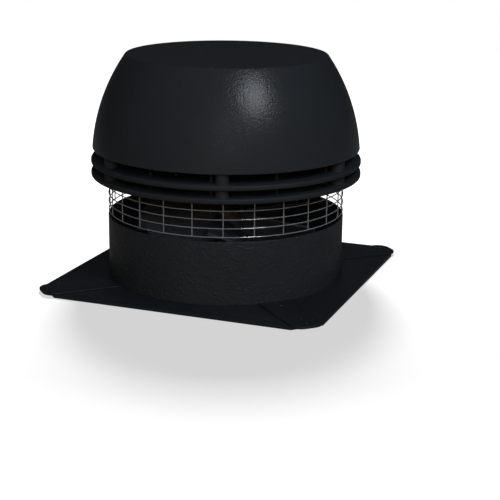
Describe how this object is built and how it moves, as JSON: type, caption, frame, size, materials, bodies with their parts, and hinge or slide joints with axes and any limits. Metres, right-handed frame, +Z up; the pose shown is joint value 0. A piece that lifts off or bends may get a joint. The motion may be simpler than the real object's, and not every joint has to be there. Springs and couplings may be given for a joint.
{
  "type": "chimney fan",
  "caption": "Round-topped chimney fan on a square base plate: hinged motor head, bladed wheel and a wire guard round its sideways outlet.",
  "frame": {"origin": "middle of the base plate's underside", "axes": "+Z up along the motor's axis; X and Y along the plate's sides; the head's hinge is at +Y"},
  "size_m": [0.3666, 0.3666, 0.2849],
  "materials": {
    "black_sheet": "fine textured powder coat",
    "black_steel": "powder coat",
    "black_cast": "fine textured powder coat",
    "grey_sheet": "bare sheet, dulled",
    "zinc_steel": "zinc plated",
    "bright_wire": "bright drawn wire",
    "motor_cast": "cast, satin",
    "core_iron": "laminated",
    "copper": "enamelled",
    "bearing_steel": "ground",
    "black_plastic": "moulded",
    "can_aluminium": "drawn",
    "wheel_cast": "dull, heat darkened",
    "rubber": "matt"
  },
  "bodies": {
    "base": {"base_plate": "black_sheet", "base_gasket": "rubber", "inlet_collar": "grey_sheet", "lower_housing": "black_sheet", "corner_strap_front_right": "black_sheet", "corner_strap_rear_right": "black_sheet", "corner_strap_rear_left": "black_sheet", "corner_strap_front_left": "black_sheet", "strap_rivets": "zinc_steel", "housing_rivets": "zinc_steel", "collar_rivets": "zinc_steel", "hinge_bracket_lower": "black_steel", "hinge_pin": "zinc_steel", "pin_clips": "zinc_steel", "bracket_screws": "zinc_steel"},
    "head": {"hinge_bracket_upper": "black_steel", "hinge_screws": "zinc_steel", "motor_plate": "black_cast", "cooling_ring": "black_cast", "spacer_posts_lower": "black_cast", "spacer_posts_upper": "black_cast", "clamp_screws": "zinc_steel", "dome_cover": "black_cast", "guard_hoops": "bright_wire", "guard_uprights": "bright_wire", "guard_clips": "bright_wire", "clip_screws": "zinc_steel", "motor_standoffs": "zinc_steel", "motor_bolts": "zinc_steel", "motor_flange": "motor_cast", "motor_shell": "motor_cast", "motor_end_cap": "motor_cast", "stator_core": "core_iron", "stator_windings": "copper", "bearing_outer_rings": "bearing_steel", "terminal_box": "black_plastic", "terminal_box_lid": "black_plastic", "cable_gland": "black_plastic", "capacitor": "can_aluminium", "capacitor_clip": "zinc_steel", "shaft_seal": "rubber"},
    "rotor": {"rotor_shaft": "bearing_steel", "shaft_key": "bearing_steel", "rotor_core": "core_iron", "bearing_inner_rings": "bearing_steel", "cooling_disc": "motor_cast", "shaft_sleeve": "wheel_cast", "fan_wheel": "wheel_cast", "wheel_washer": "zinc_steel", "wheel_nut": "zinc_steel"}
  },
  "joints": [
    {"name": "head_hinge", "type": "hinge", "parent": "base", "child": "head", "pos_m": [0, 0.163, 0.095], "axis": [-1, 0, 0], "range_deg": [0, 85]},
    {"name": "wheel_spin", "type": "hinge", "parent": "head", "child": "rotor", "pos_m": [0, 0, 0.066], "axis": [0, 0, 1], "continuous": true}
  ]
}
